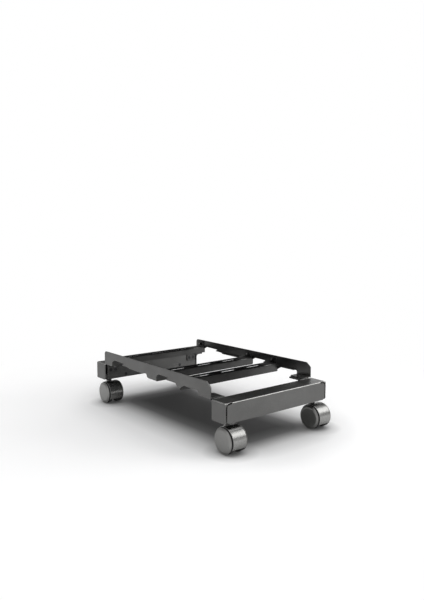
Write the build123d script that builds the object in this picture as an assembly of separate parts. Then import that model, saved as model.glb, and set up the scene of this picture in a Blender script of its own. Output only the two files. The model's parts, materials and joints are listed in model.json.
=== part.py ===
from build123d import *
import os
from math import cos, radians, sin

# Rolling stand for a desktop computer tower.
# Two folded sheet-metal crossbars carry a twin-wheel swivel caster under each
# end. Two side rails span between the crossbars and fence the tower, and three
# angle cross members between the rails carry its weight.
#
# Frame: +Z up, front of the stand faces -Y, +X is the stand's right.
# Origin: centre of the overall footprint, on the floor.
# All lengths in millimetres.

os.makedirs("parts", exist_ok=True)

# --------------------------------------------------------- shared dimensions
width = 300.0            # overall width over the crossbars, X
half_width = width / 2
bar_depth = 44.0         # crossbar depth, Y
half_depth = bar_depth / 2
bar_height = 42.0        # crossbar height, Z
bar_bottom = 63.0        # floor to crossbar underside
bar_top = bar_bottom + bar_height
sheet = 2.0              # sheet thickness of crossbars, rails and cross members
span = 436.0             # clear length between the crossbars, Y

trail = 12.0             # swivel axis to caster axle, towards -Y
stem_inset = 23.2        # stem axis from the crossbar end, X
stem_x = half_width - stem_inset
hood_r = 28.6            # outside radius of the caster hood
pin_r = 4.0              # stem pin and stem thread radius
tray_t = 3.0             # caster tray floor thickness

# The front end of the overall box is the hood of a front caster, the rear end
# is the rear crossbar's back face; the origin is half way between them.
hood_lead = trail + hood_r - half_depth
total_y = 2 * bar_depth + span + hood_lead
y_rear_in = total_y / 2 - bar_depth      # bay-side face of the rear crossbar
y_front_in = y_rear_in - span            # bay-side face of the front crossbar
front_bar_y = y_front_in - half_depth    # crossbar centre lines
rear_bar_y = y_rear_in + half_depth

# joints: the bolts and rivets that several parts share
bracket_mid = half_width - 23.0          # centre of a corner bracket, X
bracket_bolt_x = (bracket_mid - 7.0, bracket_mid + 7.0)
bracket_bolt_z = -17.0                   # from the crossbar tops
foot_bolt_x = -half_width + 19.0         # rail foot bolt, left rail
foot_bolt_y = 22.0                       # from the crossbar's bay-side face
rivet_x = (-88.0, 0.0, 88.0)
rivet_z = -34.0                          # from the crossbar tops
rivet_r = 2.4
rivet_hole_r = rivet_r + 0.05
member_front = (108.0, 198.0, 398.5)     # cross member front faces, from y_front_in
stud_y = 15.0                            # rail stud behind a member's front face
stud_z = 23.5                            # rail stud above the crossbar tops

m5_r = 2.5
m5_hole = 2.75
csk_r = 4.7              # countersunk head radius
csk_rim = 0.2            # straight edge of the countersunk head
csk_depth = 2.35
fit_gap = 0.02           # clearance between parts that seat on each other
thread_gap = 0.03        # clearance of a nut round its thread


# ------------------------------------------------------------------- helpers
# turns a solid drawn on XY so that its X, Y, Z point along Y, Z, X
onto_yz = Rot(0, 90, 0) * Rot(0, 0, 90)


def block(x0, x1, y0, y1, z0, z1):
    return Pos((x0 + x1) / 2, (y0 + y1) / 2, (z0 + z1) / 2) * Box(x1 - x0, y1 - y0, z1 - z0)


def rod_x(r, x0, x1, y, z):
    return Pos((x0 + x1) / 2, y, z) * Rot(0, 90, 0) * Cylinder(r, x1 - x0)


def rod_y(r, x, y0, y1, z):
    return Pos(x, (y0 + y1) / 2, z) * Rot(90, 0, 0) * Cylinder(r, y1 - y0)


def rod_z(r, x, y, z0, z1):
    return Pos(x, y, (z0 + z1) / 2) * Cylinder(r, z1 - z0)


def hexagon(across_flats, height):
    # prism along Z, base at Z = 0
    return extrude(RegularPolygon(across_flats / 2, 6, major_radius=False), height)


def turned_x(points):
    # solid of revolution about X from (x, radius) points
    return revolve(make_face(Polyline(*points, close=True)), axis=Axis.X)


def turned_z(points):
    # solid of revolution about Z from (radius, z) points
    outline = Polyline(*points, close=True).moved(Location((0, 0, 0), (90, 0, 0)))
    return revolve(make_face(outline), axis=Axis.Z)


def match(a, b, tolerance=0.01):
    return abs(a - b) < tolerance


def near(edge, y, z):
    return match(edge.center().Y, y, 0.05) and match(edge.center().Z, z, 0.05)


def extent(edge):
    return edge.bounding_box().size


def runs_long(edge):
    return extent(edge).X > 100


def save(name, shape):
    if isinstance(shape, list):
        shape = Compound(children=shape)
    export_step(shape, os.path.join("parts", name + ".step"))


# ----------------------------------------------------------------- crossbars
# Folded pan, open at the bottom. Modelled as the front one with the outer
# face towards -Y; local origin at the middle of its top face.
bend_r = 2.6             # outside bend radius, long edges
end_bend_r = 3.2         # outside bend radius, end flanges
end_corner_r = 5.0       # lower corners of the end flanges
fold_half = half_width - 18.0    # half of the stretch where the face flange is folded
flange_gap = 3.0         # relief gap round the ends of the face flange
gap_top = 0.55           # skin left above the gap
face_r = 7.0             # corner radius of the face flange
fold_drop = 9.0          # height of the folded stretch
relief_r = 1.5           # round relief at each end of the fold
inner_length = width - 2 * sheet - 12.0
inner_r = 4.0            # corner radius of the inner flange


def pan():
    # top and end flanges, with both long sides opened
    body = block(-half_width, half_width, -half_depth, half_depth, -bar_height, 0)
    end_edges = [e for e in body.edges()
                 if match(abs(e.center().X), half_width) and match(e.center().Z, 0)]
    body = fillet(end_edges, end_bend_r)
    long_edges = [e for e in body.edges()
                  if match(abs(e.center().Y), half_depth) and e.center().Z > -end_bend_r
                  and (runs_long(e) or e.geom_type == GeomType.CIRCLE)]
    upright = [e for e in body.edges() if e.geom_type == GeomType.LINE
               and match(extent(e).Z, bar_height - end_bend_r)]
    body = fillet(long_edges + upright, bend_r)
    hollow = block(-half_width + sheet, half_width - sheet,
                   -half_depth + sheet, half_depth - sheet, -bar_height - 1, -sheet)
    inner_ends = [e for e in hollow.edges()
                  if match(abs(e.center().X), half_width - sheet) and match(e.center().Z, -sheet)]
    body -= fillet(inner_ends, end_bend_r - sheet)

    # the outer opening follows the rounded outline of the face flange
    opening_height = 120
    opening = (Pos(0, -half_depth + sheet + 0.5, -gap_top - opening_height / 2) * Rot(90, 0, 0)
               * extrude(RectangleRounded(width - 2 * sheet, opening_height,
                                          face_r + flange_gap), sheet + 2))
    middle = block(-fold_half, fold_half, -half_depth - 5, half_depth, -sheet, 5)
    body -= opening - middle
    body -= block(-half_width + sheet, half_width - sheet,
                  half_depth - sheet - 0.5, half_depth + 1, -bar_height - 1, -sheet)

    # rounded lower corners of the end flanges
    keep_height = 40
    for side in (-1, 1):
        x = side * (half_width - sheet / 2)
        cut = block(x - 3, x + 3, -half_depth - 1, half_depth + 1,
                    -bar_height - 1, -bar_height + 12)
        keep = Pos(x, 0, -bar_height + keep_height / 2) * onto_yz * extrude(
            RectangleRounded(bar_depth, keep_height, end_corner_r), 8, both=True)
        body -= cut - keep
    return body


def face_flange():
    # outer plate, parted from the top and the end flanges by a narrow gap, and
    # the fold that joins its middle stretch to the top
    length = width - 2 * sheet - 2 * flange_gap
    height = bar_height - gap_top - flange_gap
    plate = Pos(0, -half_depth + sheet, -gap_top - flange_gap - height / 2) * Rot(
        90, 0, 0) * extrude(RectangleRounded(length, height, face_r), sheet)
    fold = block(-fold_half, fold_half, -half_depth, -half_depth + 7, -fold_drop, 0)
    outer_edge = [e for e in fold.edges()
                  if match(e.center().Y, -half_depth) and match(e.center().Z, 0)]
    fold = fillet(outer_edge, bend_r)
    fold -= block(-half_width, half_width, -half_depth + sheet, half_depth, -20, -sheet)
    return plate, fold


def inner_flange():
    # bay-side plate, shorter than the bar, and the bend above it
    half = inner_length / 2
    plate = Pos(0, half_depth, -bar_height / 2) * Rot(90, 0, 0) * extrude(
        RectangleRounded(inner_length, bar_height, inner_r), sheet)
    plate -= block(-half_width, half_width, half_depth - sheet - 1, half_depth + 1, -5, 1)
    plate += block(-half, half, half_depth - sheet, half_depth, -6, -sheet)
    bend = block(-half, half, half_depth - 6, half_depth, -6.5, 0)
    rim = [e for e in bend.edges()
           if match(e.center().Y, half_depth) and match(e.center().Z, 0)]
    bend = fillet(rim, bend_r)
    bend -= block(-half_width, half_width, 0, half_depth - sheet, -20, -sheet)
    return plate, bend


def crossbar():
    body = pan()
    plate, fold = face_flange()
    body = body + plate + fold
    for side in (-1, 1):
        body -= rod_y(relief_r, side * (fold_half + 0.6), -half_depth - 1, -half_depth + 3.4,
                      -gap_top - flange_gap / 2)
    plate, bend = inner_flange()
    body = body + plate + bend

    # holes in the inner flange: two bolts per corner bracket, three tray rivets
    for side in (-1, 1):
        for x in bracket_bolt_x:
            body -= rod_y(m5_hole, side * x, half_depth - 5, half_depth + 1, bracket_bolt_z)
    for x in rivet_x:
        body -= rod_y(rivet_hole_r, x, half_depth - 5, half_depth + 1, rivet_z)
    return body


# places a part built in the crossbar's local frame
bar_places = {
    "front": Pos(0, front_bar_y, bar_top),
    "rear": Pos(0, rear_bar_y, bar_top) * Rot(0, 0, 180),
}
one_crossbar = crossbar()
for end, place in bar_places.items():
    save(end + "_crossbar", place * one_crossbar)

# -------------------------------------------------------------- caster trays
# Channel inside each crossbar, flush with its underside. The caster stems
# bolt to it. Same local frame as the crossbar.
tray_height = 14.0
tray_half_y = half_depth - sheet - 0.1
tray_half_x = half_width - sheet - 0.4
tray_wall = 2.0
tray_bend_r = 1.6
stem_hole_r = pin_r + 0.2
tray_slot_x = 62
tray_slot_length, tray_slot_width = 26, 9


def tray():
    body = block(-tray_half_x, tray_half_x, -tray_half_y, tray_half_y,
                 -bar_height, -bar_height + tray_height)
    low = [e for e in body.edges() if match(e.center().Z, -bar_height) and runs_long(e)]
    body = fillet(low, tray_bend_r)
    body -= block(-200, 200, -tray_half_y + tray_wall, tray_half_y - tray_wall,
                  -bar_height + tray_t, 0)
    for side in (-1, 1):
        body -= rod_z(stem_hole_r, side * stem_x, 0, -bar_height - 1, -bar_height + 5)
        body -= Pos(side * tray_slot_x, 0, -bar_height) * extrude(
            SlotOverall(tray_slot_length, tray_slot_width), 5)
    for x in rivet_x:
        body -= rod_y(rivet_hole_r, x, 0, bar_depth, rivet_z)
    return body


one_tray = tray()
for end, place in bar_places.items():
    save(end + "_caster_tray", place * one_tray)

# Blind rivets that hold the trays: low domed head on the bay side, bulb inside.
rivet_head_r = 4.0
rivet_head_h = 0.95
rivet_dome_r = 0.7
bulb_r = 3.4
rivet_inside = half_depth - 2 * sheet    # nominal inside face of the riveted sheets


def rivet(x):
    head = rod_y(rivet_head_r, x, half_depth + fit_gap, half_depth + rivet_head_h, rivet_z)
    head = fillet(head.edges().group_by(Axis.Y)[-1], rivet_dome_r)
    shank = rod_y(rivet_r, x, rivet_inside - 0.3, half_depth + 0.6, rivet_z)
    bulb = rod_y(bulb_r, x, rivet_inside - 2.4, rivet_inside - 0.13, rivet_z)
    return head + shank + bulb


save("tray_rivets", [place * rivet(x) for place in bar_places.values() for x in rivet_x])

# --------------------------------------------------------------------- rails
# Vertical plate with a stepped lower outline and hooked notches. Local Y from
# the front crossbar's back face, local Z from the crossbar tops. Built as the
# left rail, at -X.
rail_x = -half_width     # outer face
rail_height = 34.0       # rails rise this far above the crossbar tops
rail_edge_r = 0.5        # softening of the outer edges
foot_reach = 28.0        # inward foot flange, X
foot_corner_r = 4.0
foot_spans = ((2.2, 42.0), (400.5, span - 0.6))   # Y extent of the foot flanges
lip_reach = 8            # stiffening lip, X
lip_t = 1.6
lips = ((256, 314, 9.0), (49, 92, 9.8))           # y start, y end, underside z
root = rail_x + sheet - 0.5                       # joined features start inside the plate
stud_length = 9.0        # weld stud beyond the plate

# (y, z), along the lower edge to the rear, then back along the top
rail_outline = [
    (1.6, 0), (44, 0), (44, 9.4), (94, 9.2), (111, 0), (114, 0), (123, 9.5),
    (162, 9.6), (150, 16.2), (188, 17.0), (198, 11.5), (198, 0), (230, 0),
    (236, 2.2), (240, 9.6), (256, 7.6), (290, 7.4), (311, 8.2), (330, 10.4),
    (354, 10.8), (338, 15.8), (387, 17.0), (398.5, 11), (398.5, 0),
    (span, 0), (span, rail_height), (14, rail_height), (1.6, 25),
]

# radius, outline corners it rounds, in the order they are filleted
rail_rounds = [
    (3.0, [(44, 9.4), (94, 9.2)]),
    (7.2, [(span, rail_height)]),
    (4.5, [(14, rail_height), (1.6, 25)]),
    (3.0, [(123, 9.5), (230, 0), (256, 7.6), (311, 8.2), (330, 10.4)]),
    (2.5, [(188, 17.0), (198, 11.5), (387, 17.0), (398.5, 11)]),
    (1.2, [(162, 9.6), (354, 10.8), (236, 2.2), (240, 9.6)]),
    (0.8, [(150, 16.2), (338, 15.8)]),
]


def rail_plate():
    plate = extrude(make_face(Polyline(*rail_outline, close=True)), sheet)
    plate = Pos(rail_x, 0, 0) * onto_yz * plate
    for radius, spots in rail_rounds:
        corners = []
        for y, z in spots:
            corners += [e for e in plate.edges() if near(e, y, z) and extent(e).X > 1]
        plate = fillet(corners, radius)

    outer = [e for e in plate.edges() if match(e.bounding_box().min.X, rail_x, 0.001)
             and match(e.bounding_box().max.X, rail_x, 0.001)]
    # guards the softening, which may fail round the notches; the edges then stay sharp
    try:
        plate = fillet(outer, rail_edge_r)
    except Exception:
        pass
    return plate


def rail():
    body = rail_plate()
    # inward foot flanges with one bolt hole each
    for y0, y1 in foot_spans:
        foot = block(root, rail_x + foot_reach, y0, y1, 0, sheet)
        corners = [e for e in foot.edges()
                   if match(e.center().X, rail_x + foot_reach) and extent(e).Z > 1]
        body += fillet(corners, foot_corner_r)
    for y in (foot_bolt_y, span - foot_bolt_y):
        body -= rod_z(m5_hole, foot_bolt_x, y, -1, 4)

    # stiffening lips along the slender stretches
    for y0, y1, z in lips:
        body += block(root, rail_x + lip_reach, y0, y1, z, z + lip_t)

    # weld studs for the cross members
    for y in member_front:
        body += rod_x(m5_r, root, rail_x + sheet + stud_length, y + stud_y, stud_z)
    return body


rail_left = Pos(0, y_front_in, bar_top) * rail()
save("left_rail", rail_left)
save("right_rail", mirror(rail_left, Plane.YZ))

# ------------------------------------------------------------- cross members
# Angle section: a front leg hanging to about the crossbar tops and a top leg
# that carries the tower, with upturned end tabs on the rail studs.
member_half = half_width - sheet - 0.1
member_top = 16.0        # seat height above the crossbar tops
member_leg = 28.0        # top leg, Y
member_bend_r = 1.8
tab_start = 2.4          # tab behind the member's front face
tab_top = 31.0           # tab height above the crossbar tops
tab_r = 5.0
member_slot_x = (-78, 0, 78)
member_slot_y = 15.5
member_slot_length, member_slot_width = 46, 9

# name, lower edge of the hanging leg; the rear one clears the brackets
members = (("front", -3.6), ("middle", -1.2), ("rear", 0.4))


def cross_member(y0, z_low):
    front = block(-member_half, member_half, y0, y0 + sheet, z_low, member_top)
    top = block(-member_half, member_half, y0, y0 + member_leg, member_top - sheet, member_top)
    body = front + top
    bend = [e for e in body.edges() if near(e, y0, member_top) and runs_long(e)]
    body = fillet(bend, member_bend_r)
    for side in (-1, 1):
        x0, x1 = sorted((side * member_half, side * (member_half - sheet)))
        tab = block(x0, x1, y0 + tab_start, y0 + member_leg, member_top - sheet, tab_top)
        crown = [e for e in tab.edges() if match(e.center().Z, tab_top) and extent(e).X > 1]
        tab = fillet(crown, tab_r)
        tab -= rod_x(m5_hole, x0 - 1, x1 + 1, y0 + stud_y, stud_z)
        body += tab
    # three obround slots in the top leg
    for x in member_slot_x:
        body -= Pos(x, y0 + member_slot_y, member_top - 4) * extrude(
            SlotOverall(member_slot_length, member_slot_width), 8)
    return Pos(0, y_front_in, bar_top) * body


for y0, (name, z_low) in zip(member_front, members):
    save(name + "_cross_member", cross_member(y0, z_low))

# ---------------------------------------------------------- corner brackets
# Angle under each rail foot, bolted up to the foot and back to the crossbar.
# Built for the front left corner, local Y from the crossbar's bay-side face.
bracket_t = 2.5
bracket_half = 14.0      # half width, X
bracket_drop = 27.0
bracket_reach = 38.0
bracket_heel_r = 2.2
bracket_corner_r = 4.0
csk_gap = 0.05           # clearance of a countersink round its screw head


def corner_bracket():
    x0, x1 = -bracket_mid - bracket_half, -bracket_mid + bracket_half
    drop = block(x0, x1, 0, bracket_t, -bracket_drop, 0)
    shelf = block(x0, x1, 0, bracket_reach, -bracket_t, 0)
    body = drop + shelf
    heel = [e for e in body.edges() if near(e, 0, 0) and extent(e).X > 10]
    body = fillet(heel, bracket_heel_r)
    low = [e for e in body.edges() if match(e.center().Z, -bracket_drop)
           and extent(e).Y > 1 and extent(e).X < 0.1]
    body = fillet(low, bracket_corner_r)
    tip = [e for e in body.edges() if match(e.center().Y, bracket_reach) and extent(e).Z > 1]
    body = fillet(tip, bracket_corner_r)
    sink_r, sink_low = csk_r + csk_gap, -csk_depth - csk_gap
    for x in bracket_bolt_x:
        body -= rod_y(m5_hole, -x, -1, 5, bracket_bolt_z)
        sink = turned_z([(0, 1), (sink_r, 1), (sink_r, -csk_rim - csk_gap),
                         (m5_r + csk_gap, sink_low), (0, sink_low)])
        body -= facing_rear(sink, -x, bracket_t, bracket_bolt_z)
    body -= rod_z(m5_hole, foot_bolt_x, foot_bolt_y, -5, 1)
    return body


def facing_rear(shape, x, y, z):
    # places a part built upwards along Z at the origin so that it points to +Y
    return Pos(x, y, z) * Rot(-90, 0, 0) * shape


def at_corners(shape):
    # front left, front right, rear left, rear right; local Y from a
    # crossbar's bay-side face, pointing into the bay
    front_left = Pos(0, y_front_in, bar_top) * shape
    rear_left = Pos(0, y_rear_in, bar_top) * mirror(shape, Plane.XZ)
    return [front_left, mirror(front_left, Plane.YZ), rear_left, mirror(rear_left, Plane.YZ)]


brackets = at_corners(corner_bracket())
save("front_corner_brackets", brackets[:2])
save("rear_corner_brackets", brackets[2:])

# ------------------------------------------------------------ M5 fasteners
m5_nut_flats = 8.0
m5_nut_h = 4.0
m5_head_r = 4.6
m5_head_h = 2.8
m5_head_round = 1.4
socket_flats = 3.0
pan_socket_depth = 1.8
flat_socket_depth = 1.5
foot_screw_length = 11.0
side_screw_length = 13.0


def pan_screw(x, y, z_top, length):
    # pan head sitting on z_top, shank downwards, hexagon socket
    head = rod_z(m5_head_r, x, y, z_top, z_top + m5_head_h)
    head = fillet(head.edges().group_by(Axis.Z)[-1], m5_head_round)
    body = head + rod_z(m5_r, x, y, z_top - length, z_top)
    return body - Pos(x, y, z_top + m5_head_h - pan_socket_depth) * hexagon(socket_flats, 3)


def flat_screw(length):
    # countersunk head flush with Z = 0, shank downwards, hexagon socket
    head = turned_z([(0, 0), (csk_r, 0), (csk_r, -csk_rim),
                     (m5_r, -csk_depth), (0, -csk_depth)])
    body = head + rod_z(m5_r, 0, 0, -length, -1)
    return body - Pos(0, 0, -flat_socket_depth) * hexagon(socket_flats, 3)


def hex_nut(across_flats, height, corner_r, thread_r, x=0, y=0, z=0):
    # corners trimmed to corner_r, base at z
    body = Pos(x, y, z) * hexagon(across_flats, height)
    body &= rod_z(corner_r, x, y, z, z + height)
    return body - rod_z(thread_r + thread_gap, x, y, z - 1, z + height + 1)


def m5_nut(x=0, y=0, z=0):
    return hex_nut(m5_nut_flats, m5_nut_h, m5_nut_flats / 2 + 0.45, m5_r, x, y, z)


# rail feet, up and down through foot and bracket
screws = at_corners(pan_screw(foot_bolt_x, foot_bolt_y, sheet + fit_gap, foot_screw_length))
nuts = at_corners(m5_nut(foot_bolt_x, foot_bolt_y, -bracket_t - fit_gap - m5_nut_h))
# brackets to crossbars
for x in bracket_bolt_x:
    screws += at_corners(facing_rear(flat_screw(side_screw_length),
                                     -x, bracket_t, bracket_bolt_z))
    nuts += at_corners(facing_rear(m5_nut(), -x, -sheet - fit_gap - m5_nut_h, bracket_bolt_z))
# cross member tabs on the rail studs
for y in member_front:
    for side in (-1, 1):
        x = side * (member_half - sheet - fit_gap)
        place = Pos(x, y_front_in + y + stud_y, bar_top + stud_z)
        nuts.append(place * (Rot(0, -90 * side, 0) * m5_nut()))
save("m5_screws", screws)
save("m5_nuts", nuts)

# ------------------------------------------------------------------- casters
# Local frame of a caster: swivel axis at X = Y = 0, floor at Z = 0. The axle
# lies along X, on the -Y side of the swivel axis.
wheel_r = 27.0           # tyre radius
axle_y = -trail
axle_z = wheel_r
axle_r = 3.0
axle_half = 17.6
wheel_bore_r = 3.05      # running bore of a wheel on its axle
pin_bore_r = 4.06        # running bore for the stem pin

boss_r = 8.0             # stem boss of the housing
boss_low = 16.5
boss_step = 51.0         # the boss narrows to the neck here
boss_top = 56.0
neck_r = 6.8
neck_round = 0.6
hood_t = 1.1             # hood wall
hood_half = 17.4         # half width of the hood
hood_edge_r = 0.45
hood_front_cut = 28.0    # degrees below the axle the hood reaches, -Y side
hood_rear_cut = 8.0      # the same, +Y side
web_half = 2.4           # half thickness of the web between the wheels
web_low = 12.5
hub_r = 6.4              # axle hub of the housing
hub_half = 8.3
clip_pocket_r = 7.6

pin_end = 11.6           # lower end of the stem
thread_end = bar_bottom + 17.5
stem_chamfer = 0.6
collar_flats = 12.0
collar_r = 6.6           # trims the collar's corners
clip_z = boss_low - 1.4  # underside of the clip
clip_t = 1.0
clip_r = 6.8
clip_slot_half = 1.9
groove_r = 3.2           # stem groove that takes the clip
washer_r = 7.0
washer_top = boss_top + 1.0


def stem():
    collar_low = washer_top + 0.03
    collar_top = bar_bottom - fit_gap
    body = rod_z(pin_r, 0, 0, pin_end, thread_end)
    collar = Pos(0, 0, collar_low) * hexagon(collar_flats, collar_top - collar_low)
    collar &= rod_z(collar_r, 0, 0, collar_low, collar_top)
    body += collar
    body = body - (rod_z(pin_r + 1, 0, 0, clip_z - 0.05, clip_z + clip_t + 0.05)
                   - rod_z(groove_r, 0, 0, clip_z - 1, clip_z + 2))
    ends = [e for e in body.edges() if e.geom_type == GeomType.CIRCLE
            and (match(e.center().Z, pin_end) or match(e.center().Z, thread_end))]
    return chamfer(ends, stem_chamfer)


def stem_nut():
    # sits on the tray floor
    return hex_nut(13.0, 6.5, 7.1, pin_r, z=bar_bottom + tray_t + fit_gap)


def stem_clip():
    # ring open towards +Y
    body = rod_z(clip_r, 0, 0, clip_z, clip_z + clip_t)
    body -= rod_z(groove_r + 0.05, 0, 0, clip_z - 1, clip_z + 2)
    return body - block(-clip_slot_half, clip_slot_half, 0, 9, clip_z - 1, clip_z + 2)


def thrust_washer():
    body = rod_z(washer_r, 0, 0, boss_top + fit_gap, washer_top)
    return body - rod_z(pin_r + 0.1, 0, 0, boss_top - 1, washer_top + 1)


def wedge_below():
    # everything under the two hood edges, as a prism along X
    reach = hood_r + 4
    front_angle, rear_angle = radians(hood_front_cut), radians(hood_rear_cut)
    front = (axle_y - reach * cos(front_angle), axle_z - reach * sin(front_angle))
    rear = (axle_y + reach * cos(rear_angle), axle_z - reach * sin(rear_angle))
    points = [(axle_y, axle_z), front, (front[0] - 20, front[1] - 60),
              (rear[0] + 20, rear[1] - 60), rear]
    return onto_yz * extrude(make_face(Polyline(*points, close=True)), 60, both=True)


def housing():
    shell = rod_x(hood_r, -hood_half, hood_half, axle_y, axle_z)
    shell = fillet(shell.edges().filter_by(GeomType.CIRCLE), hood_edge_r)
    shell -= rod_x(hood_r - hood_t, -30, 30, axle_y, axle_z)
    shell -= wedge_below()
    # web between the wheels
    web = rod_x(hood_r - 0.4, -web_half, web_half, axle_y, axle_z)
    web -= block(-9, 9, -60, 40, -5, web_low)
    web -= wedge_below() & block(-9, 9, -60, axle_y - 9, -30, 60)
    body = shell + web
    # pocket under the stem boss that leaves the clip free to turn
    body -= rod_z(clip_pocket_r, 0, 0, -5, boss_low)
    body += rod_x(hub_r, -hub_half, hub_half, axle_y, axle_z)
    boss = rod_z(boss_r, 0, 0, boss_low, boss_step) + rod_z(neck_r, 0, 0, boss_step - 1, boss_top)
    boss = fillet(boss.edges().group_by(Axis.Z)[-1], neck_round)
    body += boss
    body -= rod_z(pin_bore_r, 0, 0, 0, 80)
    body -= rod_x(axle_r + 0.01, -30, 30, axle_y, axle_z)
    return body


def axle():
    body = rod_x(axle_r, -axle_half, axle_half, axle_y, axle_z)
    return chamfer(body.edges().filter_by(GeomType.CIRCLE), 0.4)


# The wheel parts are turned about the axle on the +X side. Their profiles are
# (x, radius), x from the caster's middle plane.
rim_r = 22.48            # outside of the core, under the tyre
tyre_bore_r = 22.5
retainer_bore_r = axle_r + fit_gap

retainer_profile = [
    (16.05, retainer_bore_r), (16.05, 5.6), (16.6, 5.6), (17.0, 4.4), (17.0, retainer_bore_r),
]
core_profile = [
    (8.7, wheel_bore_r), (8.7, 6.0), (11.6, 6.6), (11.9, 19.0), (8.9, 19.6), (8.9, rim_r),
    (17.2, rim_r), (17.2, 18.9), (14.3, 18.3), (14.3, 7.6), (15.9, 7.2), (15.9, wheel_bore_r),
]
tyre_profile = [
    (8.9, tyre_bore_r), (8.9, wheel_r - 1.6), (9.25, wheel_r - 0.75), (10.0, wheel_r - 0.2),
    (11.2, wheel_r), (15.4, wheel_r), (16.6, wheel_r - 0.2), (17.3, wheel_r - 0.75),
    (17.6, wheel_r - 1.6), (17.6, 24.0), (17.2, 23.6), (17.2, tyre_bore_r),
]
core_holes = 6           # round holes through the web of the core
core_hole_r = 3.1
core_hole_pitch_r = 12.9

cap_back = 20.1          # inner and outer face of the wheel cap, X
cap_face = 23.15
cap_flat_r = 19.8        # flat middle of the cap
shoulder_r = 7.4
shoulder_angle = 48      # degrees of arc
cap_bead = [
    (20.8, 25.6), (21.1, 25.8), (21.15, 26.25), (20.9, 26.6), (20.6, 26.72), (20.3, 26.6),
    (cap_back, 26.1),
]
cap_spigot = [(cap_back, 18.1), (14.8, 18.1), (14.8, 16.9), (cap_back, 16.9)]


def wheel_core():
    # hub, dished web and rim
    body = turned_x(core_profile)
    for k in range(core_holes):
        angle = radians(360 / core_holes * k + 30)
        body -= rod_x(core_hole_r, 5, 20,
                      core_hole_pitch_r * cos(angle), core_hole_pitch_r * sin(angle))
    return body


def shoulder_point(degrees):
    angle = radians(degrees)
    return (cap_face - shoulder_r * (1 - cos(angle)), cap_flat_r + shoulder_r * sin(angle))


def wheel_cap():
    # outer disc: flat face, rounded shoulder, raised bead round the rim, and a
    # spigot that plugs into the rim of the core
    end = shoulder_point(shoulder_angle)
    flat_edge = (cap_face, cap_flat_r)
    outline = Polyline(end, *cap_bead, *cap_spigot, (cap_back, 0), (cap_face, 0), flat_edge)
    shoulder = ThreePointArc(flat_edge, shoulder_point(shoulder_angle / 2), end)
    return revolve(make_face(outline + shoulder), axis=Axis.X)


def on_axle(body, side):
    # side -1 is the left wheel, 1 the right one
    body = Pos(0, axle_y, axle_z) * body
    return body if side > 0 else mirror(body, Plane.YZ)


retainer = turned_x(retainer_profile)    # push-on washer on each axle end
retainers = [on_axle(retainer, side) for side in (-1, 1)]
single_parts = {"stem": stem(), "housing": housing(), "axle": axle()}
wheel_parts = {"core": wheel_core(), "tyre": turned_x(tyre_profile), "cap": wheel_cap()}
small_parts = {
    "stem_nuts": stem_nut(),
    "stem_clips": stem_clip(),
    "thrust_washers": thrust_washer(),
}

caster_places = {
    "front_left": Pos(-stem_x, front_bar_y, 0),
    "front_right": Pos(stem_x, front_bar_y, 0),
    "rear_left": Pos(-stem_x, rear_bar_y, 0),
    "rear_right": Pos(stem_x, rear_bar_y, 0),
}
for corner, place in caster_places.items():
    caster = "caster_" + corner + "_"
    for name, body in single_parts.items():
        save(caster + name, place * body)
    save(caster + "axle_retainers", [place * body for body in retainers])
    for side, side_name in ((-1, "left"), (1, "right")):
        for name, body in wheel_parts.items():
            save(caster + side_name + "_wheel_" + name, place * on_axle(body, side))
for name, body in small_parts.items():
    save(name, [place * body for place in caster_places.values()])
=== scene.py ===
"""A low wheeled stand: the looks of its CAD pieces, and a white studio around it.

The stand rests on the floor at z = 0 and is longest along Y. Its wheels touch down in
pairs, either side of x = 0. Metres, +Z up. The camera looks towards +X +Y, slightly down.
"""
import json
import math

import bmesh
import bpy
from mathutils import Matrix, Vector

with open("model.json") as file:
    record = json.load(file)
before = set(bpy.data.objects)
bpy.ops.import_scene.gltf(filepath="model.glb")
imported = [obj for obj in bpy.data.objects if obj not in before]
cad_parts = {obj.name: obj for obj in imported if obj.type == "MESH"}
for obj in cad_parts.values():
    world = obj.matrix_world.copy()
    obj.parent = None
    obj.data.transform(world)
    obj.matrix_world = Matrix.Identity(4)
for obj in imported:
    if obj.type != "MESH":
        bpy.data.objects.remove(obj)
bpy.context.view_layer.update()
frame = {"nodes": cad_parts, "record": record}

scene = bpy.context.scene

WHITE = (1, 1, 1, 1)
METAL_WARMTH = 0.012


def grey(level, warm=0.0):
    """A grey whose blue, and a little of its green, fall away as warm rises."""
    return (level, level * (1 - 0.15 * warm), level * (1 - 2.2 * warm), 1.0)


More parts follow.
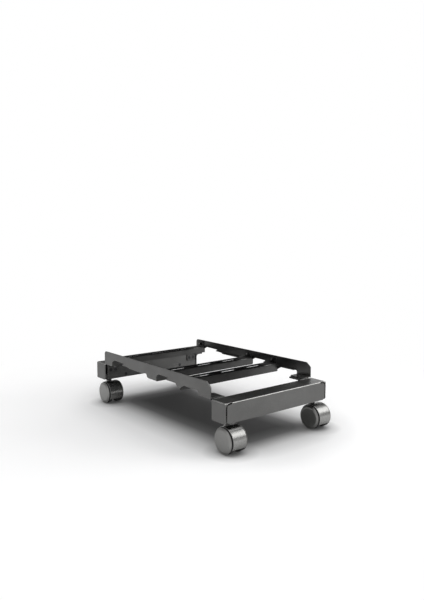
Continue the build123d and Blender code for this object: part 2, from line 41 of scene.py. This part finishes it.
# ------------------------------------------------------------ node utilities
class Graph:
    """Writes a shader node tree; each method returns an output socket unless noted."""

    def __init__(self, tree):
        self.tree = tree
        tree.nodes.clear()

    def put(self, socket, value):
        """Link a socket to an output, or set its value."""
        if isinstance(value, bpy.types.NodeSocket):
            self.tree.links.new(value, socket)
        else:
            socket.default_value = value

    def node(self, kind, inputs=None, **props):
        """Add a node, set its properties, fill its inputs, and return the node."""
        node = self.tree.nodes.new(kind)
        for key, value in props.items():
            setattr(node, key, value)
        for key, value in (inputs or {}).items():
            self.put(node.inputs[key], value)
        return node

    def math(self, operation, a, b=0.0):
        return self.node("ShaderNodeMath", {0: a, 1: b}, operation=operation).outputs[0]

    def times(self, a, b):
        return self.math("MULTIPLY", a, b)

    def hypot(self, x, y):
        return self.math("SQRT", self.math("ADD", self.times(x, x), self.times(y, y)))

    def dot(self, a, b):
        node = self.node("ShaderNodeVectorMath", {0: a, 1: b}, operation="DOT_PRODUCT")
        return node.outputs["Value"]

    def split(self, vector):
        """The X, Y and Z outputs, by name."""
        return self.node("ShaderNodeSeparateXYZ", {0: vector}).outputs

    def coords(self, scale=(1, 1, 1)):
        place = self.node("ShaderNodeTexCoord").outputs["Object"]
        return self.node("ShaderNodeMapping", {"Vector": place, "Scale": scale}).outputs[0]

    def noise(self, vec, scale, detail, rough, warp=0.0):
        return self.node("ShaderNodeTexNoise", {
            "Vector": vec, "Scale": scale, "Detail": detail,
            "Roughness": rough, "Distortion": warp}).outputs[0]

    def ramp(self, fac, stops, interpolation="LINEAR"):
        """Colour ramp through (position, colour) stops."""
        node = self.node("ShaderNodeValToRGB", {0: fac})
        node.color_ramp.interpolation = interpolation
        elements = node.color_ramp.elements
        while len(elements) > 1:
            elements.remove(elements[-1])
        elements[0].position, elements[0].color = stops[0]
        for position, color in stops[1:]:
            elements.new(position).color = color
        return node.outputs[0]

    def remap(self, value, over, to=(0.0, 1.0), curve="LINEAR"):
        """Map the range over onto the range to, clamped."""
        return self.node("ShaderNodeMapRange", {
            0: value, 1: over[0], 2: over[1], 3: to[0], 4: to[1]},
            interpolation_type=curve).outputs[0]

    def mix(self, fac, a, b, amount=None, blend="MIX"):
        """Colour mix; amount, if given, scales the factor."""
        if amount is not None:
            fac = self.times(fac, amount)
        return self.node("ShaderNodeMix", {0: fac, 6: a, 7: b},
                         data_type="RGBA", blend_type=blend).outputs[2]

    def mix_shader(self, fac, a, b):
        return self.node("ShaderNodeMixShader", {0: fac, 1: a, 2: b}).outputs[0]

    def bump(self, height, strength, distance, normal=None):
        inputs = {"Strength": strength, "Distance": distance, "Height": height}
        if normal is not None:
            inputs["Normal"] = normal
        return self.node("ShaderNodeBump", inputs).outputs[0]

    def edge_mask(self, radius):
        """Two outputs: 1 on edges and 0 on flats, and the rounded normal it comes from."""
        soft = self.node("ShaderNodeBevel", {"Radius": radius}, samples=4).outputs[0]
        normal = self.node("ShaderNodeNewGeometry").outputs["Normal"]
        turn = self.math("SUBTRACT", 1.0, self.dot(soft, normal))
        return self.remap(turn, over=(0.02, 0.25)), soft


class Material(Graph):
    """The node tree of a new material, built on a Principled shader."""

    def __init__(self, name):
        self.mat = bpy.data.materials.new(name)
        self.mat.use_nodes = True
        super().__init__(self.mat.node_tree)
        self.out = self.node("ShaderNodeOutputMaterial")
        self.bsdf = self.node("ShaderNodeBsdfPrincipled")
        self.finish(self.bsdf.outputs[0])

    def finish(self, shader):
        self.put(self.out.inputs["Surface"], shader)

    def surface(self, color, rough, normal=None, metallic=0.0):
        """Fill the Principled shader and return the material."""
        inputs = self.bsdf.inputs
        self.put(inputs["Base Color"], color)
        self.put(inputs["Metallic"], metallic)
        self.put(inputs["Roughness"], rough)
        if normal is not None:
            self.put(inputs["Normal"], normal)
        return self.mat


# ----------------------------------------------------------------- materials
def powder_coat(name, tone, metallic, rough, wear, bend_highlight):
    """Satin graphite powder coat: fine grain, cloudy tone, edges rubbed a little lighter, and a
    painted highlight on upward-facing bends.
    """
    g = Material(name)
    warm = METAL_WARMTH
    vec = g.coords()
    cloud = g.noise(vec, scale=14.0, detail=4.0, rough=0.6, warp=0.3)
    fine = g.noise(vec, scale=900.0, detail=2.0, rough=0.6)
    grain = g.noise(vec, scale=2600.0, detail=2.0, rough=0.5)
    mask, soft = g.edge_mask(radius=0.0011)
    base = g.mix(g.remap(cloud, over=(0.3, 0.7)), grey(tone * 0.90, warm), grey(tone * 1.10, warm))
    speck = g.remap(fine, over=(0.42, 0.62))
    base = g.mix(speck, base, grey(tone * 1.7, warm), amount=0.16)
    patchy = g.remap(g.noise(vec, scale=120.0, detail=5.0, rough=0.65), over=(0.40, 0.62))
    base = g.mix(g.times(mask, patchy), base, grey(min(1.0, tone * 2.6), warm), amount=wear)

    # Painted highlight: bends, where the normal leaves the axes and has some Z in it, are lightened;
    # they are also made more metallic and slicker.
    normal = g.node("ShaderNodeNewGeometry").outputs["Normal"]
    facing = g.node("ShaderNodeVectorMath", {0: normal}, operation="ABSOLUTE").outputs["Vector"]
    part = g.split(facing)
    flat = g.math("MAXIMUM", g.math("MAXIMUM", part["X"], part["Y"]), part["Z"])
    bend = g.times(
        g.remap(g.math("SUBTRACT", 1.0, flat), over=(0.03, 0.22)),
        g.remap(g.noise(vec, scale=70.0, detail=4.0, rough=0.6), over=(0.3, 0.6), to=(0.62, 1.0)))
    bend = g.times(bend, g.remap(part["Z"], over=(0.12, 0.35)))
    # the painted bend highlight: the bends' colour lightened towards five times the tone
    base = g.mix(bend, base, grey(min(1.0, tone * 5.0), warm), amount=bend_highlight)
    metal = g.remap(bend, over=(0.0, 1.0), to=(metallic, 0.9))

    smudge = g.noise(g.coords(scale=(1.0, 0.6, 1.6)), scale=32.0, detail=5.0, rough=0.62, warp=0.6)
    rough = g.math("ADD", rough, g.remap(smudge, over=(0.35, 0.7), to=(-0.05, 0.07)))
    rough = g.math("ADD", rough, g.remap(fine, over=(0.3, 0.7), to=(-0.03, 0.03)))
    slick = 0.10  # roughness lost on the bends
    rough = g.math("SUBTRACT", rough, g.times(bend, slick))
    relief = g.bump(grain, strength=0.16, distance=0.00012, normal=soft)
    ripple = g.noise(vec, scale=420.0, detail=3.0, rough=0.5)
    relief = g.bump(ripple, strength=0.10, distance=0.00025, normal=relief)
    return g.surface(base, rough, relief, metal)


def rubber(name, tone):
    """Black rubber with pale dust."""
    g = Material(name)
    vec = g.coords()
    dust = g.noise(vec, scale=60.0, detail=5.0, rough=0.65, warp=0.5)
    fine = g.noise(vec, scale=1500.0, detail=3.0, rough=0.6)
    mask, soft = g.edge_mask(radius=0.0008)
    base = g.mix(g.remap(dust, over=(0.42, 0.70), to=(0.0, 0.55)),
                 grey(tone), grey(tone * 2.6, warm=0.03))
    base = g.mix(mask, base, grey(tone * 3.0, warm=0.02), amount=0.35)
    rough = g.remap(dust, over=(0.3, 0.7), to=(0.62, 0.86))
    relief = g.bump(fine, strength=0.35, distance=0.00015, normal=soft)
    ripple = g.noise(vec, scale=240.0, detail=3.0, rough=0.5)
    relief = g.bump(ripple, strength=0.15, distance=0.0003, normal=relief)
    return g.surface(base, rough, relief)


def moulded(name, tone):
    """Dark moulded plastic with flow marks."""
    g = Material(name)
    vec = g.coords()
    flow = g.noise(g.coords(scale=(1, 1, 3)), scale=70.0, detail=4.0, rough=0.6, warp=1.2)
    spark = g.noise(vec, scale=1900.0, detail=2.0, rough=0.5)
    mask, soft = g.edge_mask(radius=0.0005)
    base = g.mix(g.remap(flow, over=(0.35, 0.7)), grey(tone * 0.8), grey(tone * 1.3, warm=0.01))
    base = g.mix(mask, base, grey(tone * 2.5), amount=0.25)
    rough = g.remap(spark, over=(0.3, 0.7), to=(0.42, 0.56))
    return g.surface(base, rough, g.bump(spark, strength=0.25, distance=0.0001, normal=soft))


def zinc(name):
    """Zinc-plated steel: pale, mottled, faintly warm bloom."""
    g = Material(name)
    cool, bloom = (0.42, 0.43, 0.44, 1), (0.56, 0.55, 0.51, 1)
    crystal, rubbed = (0.36, 0.37, 0.39, 1), (0.72, 0.72, 0.70, 1)
    vec = g.coords()
    cell = g.node("ShaderNodeTexVoronoi", {"Vector": vec, "Scale": 420.0}).outputs[0]
    mottle = g.noise(vec, scale=160.0, detail=4.0, rough=0.6, warp=0.8)
    mask, soft = g.edge_mask(radius=0.0005)
    base = g.mix(g.remap(mottle, over=(0.35, 0.65)), cool, bloom)
    base = g.mix(g.remap(cell, over=(0.0, 0.6)), base, crystal, amount=0.15)
    base = g.mix(mask, base, rubbed, amount=0.3)
    rough = g.remap(mottle, over=(0.3, 0.7), to=(0.30, 0.46))
    fine = g.noise(vec, scale=1200.0, detail=3.0, rough=0.6)
    relief = g.bump(fine, strength=0.12, distance=0.0001, normal=soft)
    return g.surface(base, rough, relief, metallic=1.0)


def satin_metal(name, tone, rough, streak, brush, anisotropy=0.0):
    """Satin nickel. brush is the grain's frequency along each axis, streak its contrast."""
    g = Material(name)
    warm = METAL_WARMTH
    broad_brush = tuple(s * 0.12 for s in brush)
    fine = g.noise(g.coords(brush), scale=1.0, detail=4.0, rough=0.65)
    broad = g.noise(g.coords(broad_brush), scale=1.0, detail=3.0, rough=0.6)
    cloud = g.noise(g.coords(), scale=38.0, detail=5.0, rough=0.6, warp=0.5)
    smudge = g.noise(g.coords(scale=(1.0, 1.4, 0.7)),
                     scale=110.0, detail=5.0, rough=0.68, warp=0.8)
    mask, soft = g.edge_mask(radius=0.0006)
    base = g.mix(g.remap(fine, over=(0.3, 0.7)),
                 grey(tone * (1 - streak), warm), grey(tone * (1 + streak), warm))
    base = g.mix(g.remap(broad, over=(0.35, 0.7)), base,
                 grey(tone * 0.82, warm * 1.5), amount=0.26)
    base = g.mix(g.remap(cloud, over=(0.42, 0.72)), base,
                 grey(tone * 0.74, warm * 2), amount=0.22)
    base = g.mix(mask, base, grey(min(1.0, tone * 1.7), warm), amount=0.3)
    rough = g.math("ADD", rough, g.remap(fine, over=(0.3, 0.7), to=(-0.035, 0.035)))
    rough = g.math("ADD", rough, g.remap(smudge, over=(0.45, 0.75), to=(0.0, 0.07)))
    if anisotropy:
        # the tangent is the piece's own X axis
        g.put(g.bsdf.inputs["Anisotropic"], anisotropy)
        tangent = g.node("ShaderNodeVectorTransform", {0: (1.0, 0.0, 0.0)},
                         vector_type="VECTOR", convert_from="OBJECT", convert_to="WORLD")
        g.put(g.bsdf.inputs["Tangent"], tangent.outputs[0])
    relief = g.bump(broad, strength=0.05, distance=0.00006, normal=soft)
    grain = g.noise(g.coords(), scale=1400.0, detail=2.0, rough=0.5)
    relief = g.bump(grain, strength=0.05, distance=0.00004, normal=relief)
    return g.surface(base, rough, relief, metallic=1.0)


def black_steel(name, tone):
    """Oiled black-oxide steel: mottled blue-black, edges rubbed to bare metal."""
    g = Material(name)
    blue = (tone * 0.8, tone * 0.82, tone * 0.92, 1)
    brown = (tone * 1.5, tone * 1.45, tone * 1.4, 1)
    vec = g.coords()
    mottle = g.noise(vec, scale=210.0, detail=5.0, rough=0.62, warp=0.9)
    fine = g.noise(vec, scale=1700.0, detail=2.0, rough=0.5)
    mask, soft = g.edge_mask(radius=0.0004)
    base = g.mix(g.remap(mottle, over=(0.35, 0.68)), blue, brown)
    rubbed = g.times(mask, g.remap(mottle, over=(0.4, 0.6), to=(0.2, 1.0)))
    base = g.mix(rubbed, base, grey(tone * 5.0, warm=0.01), amount=0.45)
    rough = g.remap(mottle, over=(0.3, 0.7), to=(0.30, 0.48))
    relief = g.bump(fine, strength=0.12, distance=0.0001, normal=soft)
    return g.surface(base, rough, relief, metallic=0.75)


# material: (maker, settings). The hood's brushing runs round X.
LOOKS = {
    # the last setting of each coat is the strength of its painted highlight on upward-facing bends
    "frame_coat": (powder_coat, dict(tone=0.113, metallic=0.74, rough=0.34,
                                     wear=0.35, bend_highlight=0.8)),
    # inner_coat is the same powder coat as frame_coat, with a darker tone painted in as shade
    "inner_coat": (powder_coat, dict(tone=0.080, metallic=0.60, rough=0.40,
                                     wear=0.25, bend_highlight=0.4)),
    "hood_metal": (satin_metal, dict(tone=0.30, rough=0.27, streak=0.06,
                                     brush=(1500, 30, 30), anisotropy=0.55)),
    "cap_metal": (satin_metal, dict(tone=0.250, rough=0.32, streak=0.05,
                                    brush=(60, 900, 900))),
    "black_steel": (black_steel, dict(tone=0.045)),
    "zinc_steel": (zinc, {}),
    "tyre": (rubber, dict(tone=0.018)),
    "nylon": (moulded, dict(tone=0.030)),
}
BLACK_FASTENERS = ("m5_screws", "m5_nuts", "tray_rivets")


def dress_pieces():
    """Give every CAD piece its material; stems and fasteners are always black steel."""
    materials = {name: make(name, **settings) for name, (make, settings) in LOOKS.items()}
    slot_of = {part["node"]: part["material_slot"] for part in frame["record"]["subparts"]}
    for name, piece in frame["nodes"].items():
        look = slot_of[name]
        if name.endswith("_stem") or name in BLACK_FASTENERS:
            look = "black_steel"
        if not piece.material_slots:
            piece.data.materials.append(materials[look])
        for slot in piece.material_slots:
            slot.link = "OBJECT"
            slot.material = materials[look]


# --------------------------------------------------------------------- floor
FLOOR_HALF = 30.0
# rectangle under the stand that is in full painted shadow
SHADOW_CENTRE = (0.007, 0.002)
SHADOW_HALF = (0.055, 0.185)
SHADOW_REACH = 0.25
# (distance outside the rectangle / reach, brightness)
SHADOW_STOPS = ((0.0, 0.080), (0.16, 0.170), (0.36, 0.64), (0.56, 0.88), (0.85, 1.0))
# wheel contacts: at +-x, and at one y below and one above zero
WHEEL_X = 0.1268
WHEEL_Y_LOW, WHEEL_Y_HIGH = 0.243, 0.237
# painted shadow pools round each wheel contact
WHEEL_SHADOW_REACH = 0.06
# (distance from the contact / reach, brightness)
WHEEL_SHADOW_STOPS = ((0.0, 0.34), (0.30, 0.44), (0.60, 0.78), (1.0, 1.0))
FADE = (0.38, 0.90)  # distances from the origin where the fade to white starts and ends


def add_object(name, mesh):
    """Link a new stage object to the scene."""
    obj = bpy.data.objects.new(name, mesh)
    scene.collection.objects.link(obj)
    return obj


def floor_paper():
    """White paper with painted contact shadows, fading to pure white far off."""
    g = Material("floor_paper")
    vec = g.coords()
    cloud = g.noise(vec, scale=3.0, detail=4.0, rough=0.5)
    tone = g.mix(g.remap(cloud, over=(0.3, 0.7)), grey(0.93), grey(0.96))
    geometry = g.node("ShaderNodeNewGeometry").outputs
    place = g.split(geometry["Position"])

    def outside(axis, centre, half):
        offset = g.math("ABSOLUTE", g.math("SUBTRACT", place[axis], centre))
        return g.math("MAXIMUM", g.math("SUBTRACT", offset, half), 0.0)

    def darken(color, distance, reach, stops):
        shade = g.ramp(g.math("DIVIDE", distance, reach),
                       [(position, grey(level)) for position, level in stops])
        return g.mix(1.0, color, shade, blend="MULTIPLY")

    # painted soft shadow under the middle of the stand
    away = g.hypot(*[outside(*side) for side in zip("XY", SHADOW_CENTRE, SHADOW_HALF)])
    lit = darken(tone, away, SHADOW_REACH, SHADOW_STOPS)
    # tighter painted shadow pools where the wheels touch down
    wheel_shadow_x = g.math("SUBTRACT", g.math("ABSOLUTE", place["X"]), WHEEL_X)
    wheel_shadow_y = g.math("MINIMUM",
                    g.math("ABSOLUTE", g.math("ADD", place["Y"], WHEEL_Y_LOW)),
                    g.math("ABSOLUTE", g.math("SUBTRACT", place["Y"], WHEEL_Y_HIGH)))
    lit = darken(lit, g.hypot(wheel_shadow_x, wheel_shadow_y), WHEEL_SHADOW_REACH, WHEEL_SHADOW_STOPS)

    # the painted shadows darken both the paper's colour and its faint glow
    g.put(g.bsdf.inputs["Emission Color"], lit)
    g.put(g.bsdf.inputs["Emission Strength"], 0.11)
    g.put(g.bsdf.inputs["Specular IOR Level"], 0.25)
    fibre = g.noise(vec, scale=900.0, detail=3.0, rough=0.6)
    g.surface(lit, rough=0.6, normal=g.bump(fibre, strength=0.05, distance=0.0002))

    # the far floor melts into the white surround
    glow = g.node("ShaderNodeEmission", {"Color": WHITE, "Strength": 1.0}).outputs[0]
    distance = g.node("ShaderNodeVectorMath", {0: geometry["Position"]}, operation="LENGTH")
    camera_ray = g.node("ShaderNodeLightPath").outputs["Is Camera Ray"]
    far = g.remap(distance.outputs["Value"], over=FADE, curve="SMOOTHSTEP")
    paper = g.mix_shader(g.times(far, camera_ray), g.bsdf.outputs[0], glow)
    # from below the floor is clear, so that the underside can be looked at
    clear = g.node("ShaderNodeBsdfTransparent").outputs[0]
    g.finish(g.mix_shader(g.times(geometry["Backfacing"], camera_ray), paper, clear))
    return g.mat


def build_floor():
    mesh = bpy.data.meshes.new("studio_floor")
    corners = [(x * FLOOR_HALF, y * FLOOR_HALF, 0.0)
               for x, y in ((-1, -1), (1, -1), (1, 1), (-1, 1))]
    mesh.from_pydata(corners, [], [(0, 1, 2, 3)])
    add_object("studio_floor", mesh)
    mesh.materials.append(floor_paper())


# --------------------------------------------------------------------- world
# (height of the direction, colour)
SKY_STOPS = [(0.0, grey(0.80)), (0.22, grey(0.62)), (0.55, grey(0.34)), (1.0, (0.34, 0.34, 0.35, 1))]


def build_world():
    """White to the camera; a shaded studio to every other ray."""
    world = bpy.data.worlds.new("studio")
    scene.world = world
    world.use_nodes = True
    g = Graph(world.node_tree)
    out = g.node("ShaderNodeOutputWorld")
    camera_ray = g.node("ShaderNodeLightPath").outputs["Is Camera Ray"]
    backdrop = g.node("ShaderNodeBackground", {0: WHITE, 1: 1.0})
    studio = g.node("ShaderNodeBackground")
    toward = g.node("ShaderNodeTexCoord").outputs["Generated"]
    height = g.split(toward)["Z"]
    g.put(studio.inputs[0], g.ramp(height, SKY_STOPS, interpolation="EASE"))

    def spot(direction, over, level):
        """Strength 1 away from direction, level close to it."""
        return g.remap(g.dot(toward, direction), over, to=(1.0, level), curve="SMOOTHSTEP")

    # dimmer beyond the stand, so that top faces read deep
    dim = spot((0.60, 0.72, 0.35), over=(0.40, 0.92), level=0.75)
    # darkest in one narrow patch, which the near end of the top face mirrors
    deep = spot((0.600, 0.750, 0.278), over=(0.962, 0.997), level=0.04)
    # brighter to the right of it, as the camera looks
    lift = spot((0.835, 0.515, 0.190), over=(0.940, 0.996), level=4.4)
    g.put(studio.inputs[1], g.times(dim, g.times(deep, lift)))
    g.put(out.inputs[0], g.mix_shader(camera_ray, studio.outputs[0], backdrop.outputs[0]))


# ---------------------------------------------------------------------- flag
FLAG_CENTRE = (0.0, 0.020, 0.345)
FLAG_SIZE = (0.235, 0.470, 0.43)
FLAG_COVER = 0.85  # share of the light it stops


def build_flag():
    """Dark, partly sheer block over the stand that holds light back, unseen by the camera."""
    mesh = bpy.data.meshes.new("flag")
    bm = bmesh.new()
    place = Matrix.Translation(FLAG_CENTRE) @ Matrix.Diagonal((*FLAG_SIZE, 1.0))
    bmesh.ops.create_cube(bm, size=1.0, matrix=place)
    bm.to_mesh(mesh)
    bm.free()
    add_object("flag", mesh).visible_camera = False
    g = Material("flag_cloth")
    g.surface(color=(0.05, 0.05, 0.052, 1), rough=0.9)
    sheer = g.node("ShaderNodeBsdfTransparent").outputs[0]
    g.finish(g.mix_shader(FLAG_COVER, sheer, g.bsdf.outputs[0]))
    mesh.materials.append(g.mat)


# -------------------------------------------------------------------- lights
# name, place, target, (width, height), watts
SOFTBOXES = (
    ("top_box", (-0.1, 0.1, 2.6), (0, 0, 0), (3.2, 3.2), 52.0),
    ("right_box", (1.42, -1.15, 1.18), (-0.1, -0.2, 0.05), (1.5, 1.05), 13.4),
    ("left_fill", (-2.6, -0.3, 1.2), (0.0, 0.0, 0.05), (2.2, 1.6), 7.4),
    ("front_fill", (-0.6, -3.0, 1.1), (0.0, 0.0, 0.05), (2.4, 1.4), 9.0),
)


def aim(obj, place, direction):
    obj.location = place
    obj.rotation_euler = direction.to_track_quat("-Z", "Y").to_euler()


def build_lights():
    for name, place, target, size, power in SOFTBOXES:
        light = bpy.data.lights.new(name, "AREA")
        light.shape = "RECTANGLE"
        light.size, light.size_y = size
        light.energy = power
        box = bpy.data.objects.new(name, light)
        scene.collection.objects.link(box)
        aim(box, place, Vector(target) - Vector(place))


# -------------------------------------------------------------------- camera
CAMERA_PLACE = (-0.863175, -1.090508, 0.417908)
AZIMUTH = -0.681700  # radians about Z from +Y
PITCH = 0.099504  # radians below level
SENSOR_MM, LENS_MM = 36.0, 34.78434


def build_camera():
    lens = bpy.data.cameras.new("camera")
    camera = bpy.data.objects.new("camera", lens)
    scene.collection.objects.link(camera)
    lens.sensor_fit = "AUTO"
    lens.sensor_width = SENSOR_MM
    lens.lens = LENS_MM
    lens.clip_start, lens.clip_end = 0.05, 200.0
    look = Vector((-math.sin(AZIMUTH) * math.cos(PITCH),
                   math.cos(AZIMUTH) * math.cos(PITCH), -math.sin(PITCH)))
    aim(camera, CAMERA_PLACE, look)
    scene.camera = camera
    scene.view_settings.view_transform = "Standard"
    scene.view_settings.look = "None"


dress_pieces()
build_floor()
build_world()
build_flag()
build_lights()
build_camera()
